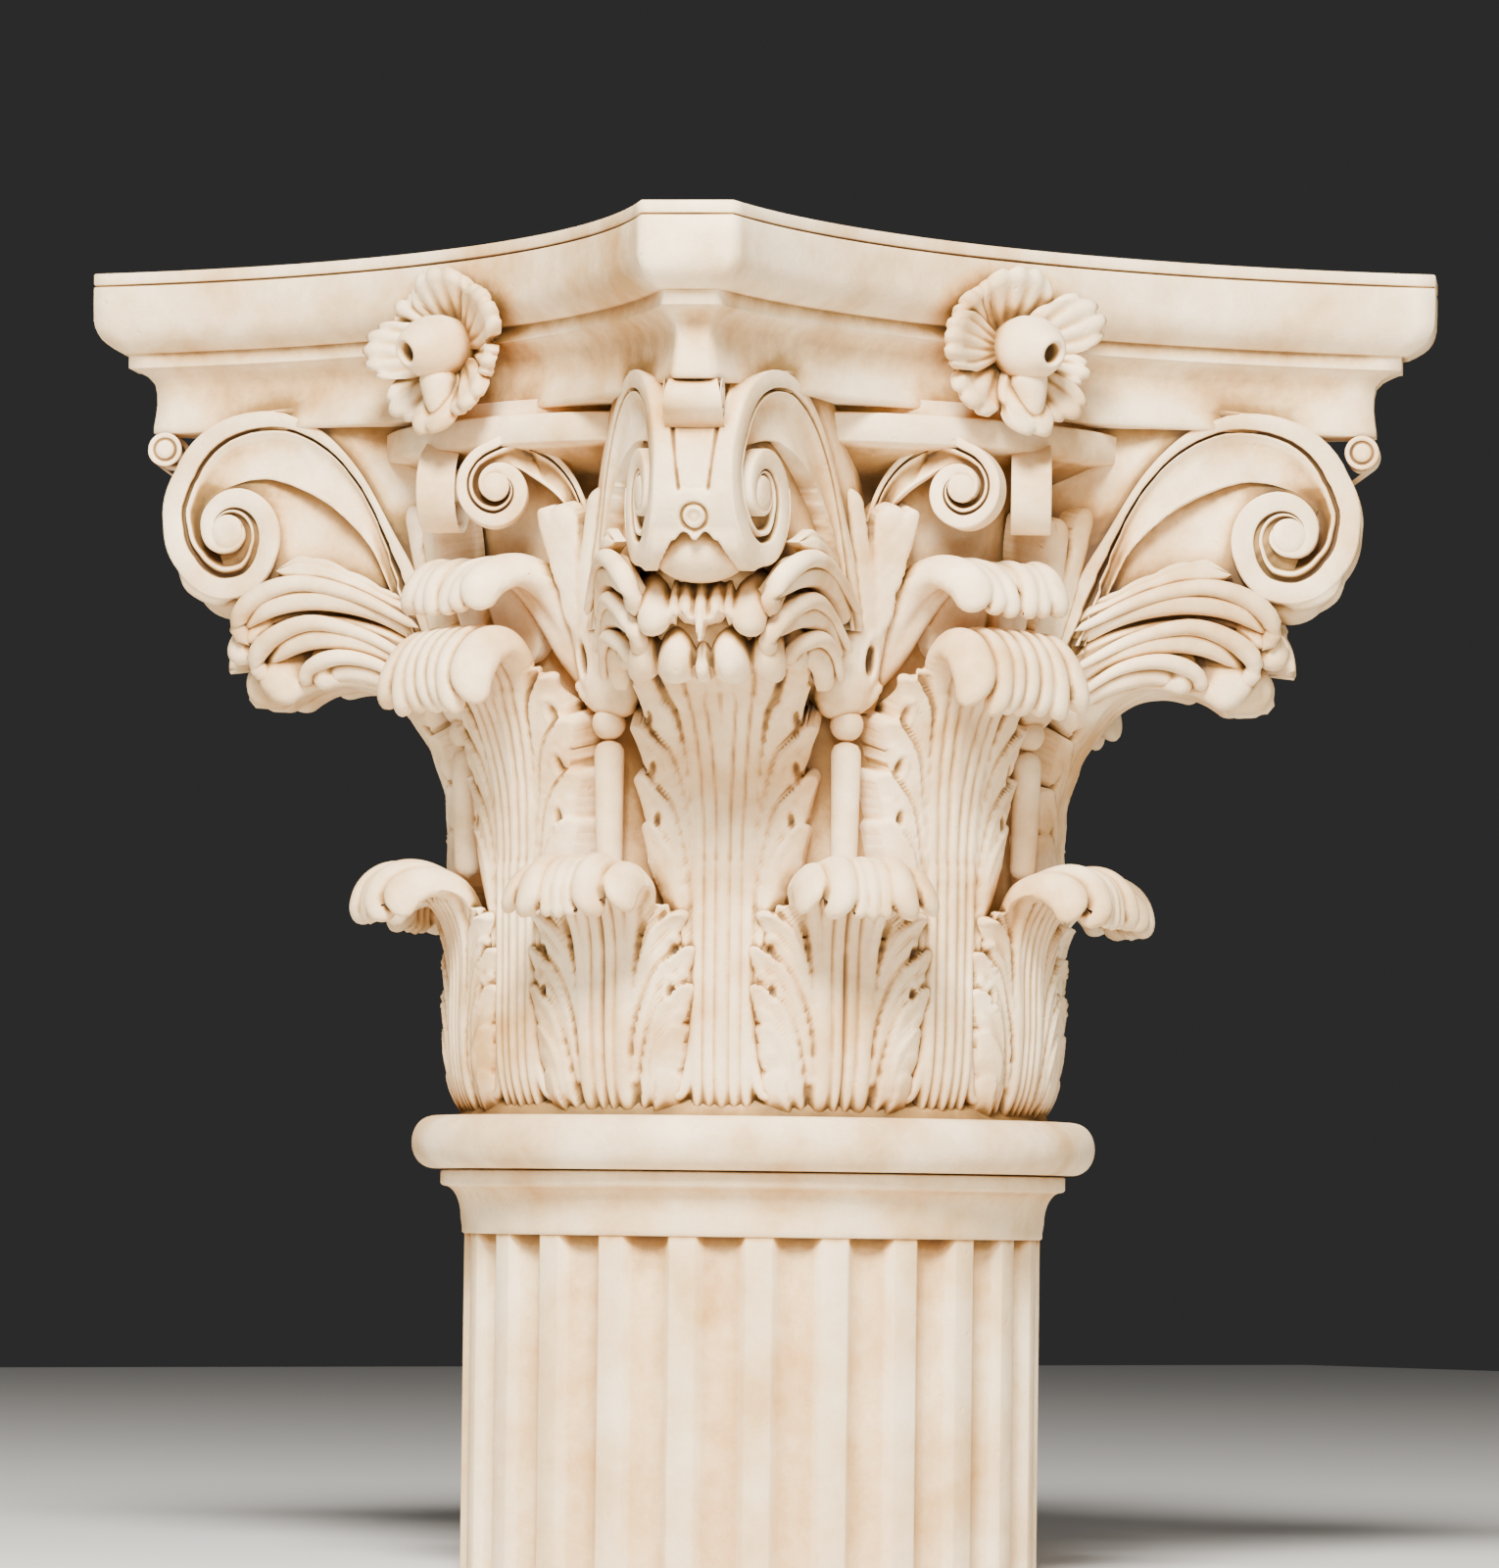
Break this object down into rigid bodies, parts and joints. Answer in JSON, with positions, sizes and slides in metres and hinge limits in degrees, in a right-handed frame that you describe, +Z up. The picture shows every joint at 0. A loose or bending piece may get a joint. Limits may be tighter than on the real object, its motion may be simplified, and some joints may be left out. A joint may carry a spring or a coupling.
{
  "type": "column capital",
  "caption": "Corinthian column capital with acanthus leaves, corner volutes, helices and concave abacus, on the fluted head of its shaft.",
  "frame": {"origin": "on the column's axis, at the flat underside of the shaft head", "axes": "+Z up along the column's axis; the abacus sides face +X, -X, +Y and -Y and its corners are on the diagonals"},
  "size_m": [0.4432, 0.4432, 0.566],
  "materials": {
    "capital_stone": "matt cast stone with an ochre antique wash in the hollows",
    "shaft_stone": "matt cast stone with a faint ochre wash"
  },
  "bodies": {
    "root": {"capital": "capital_stone", "shaft": "shaft_stone"}
  },
  "joints": []
}
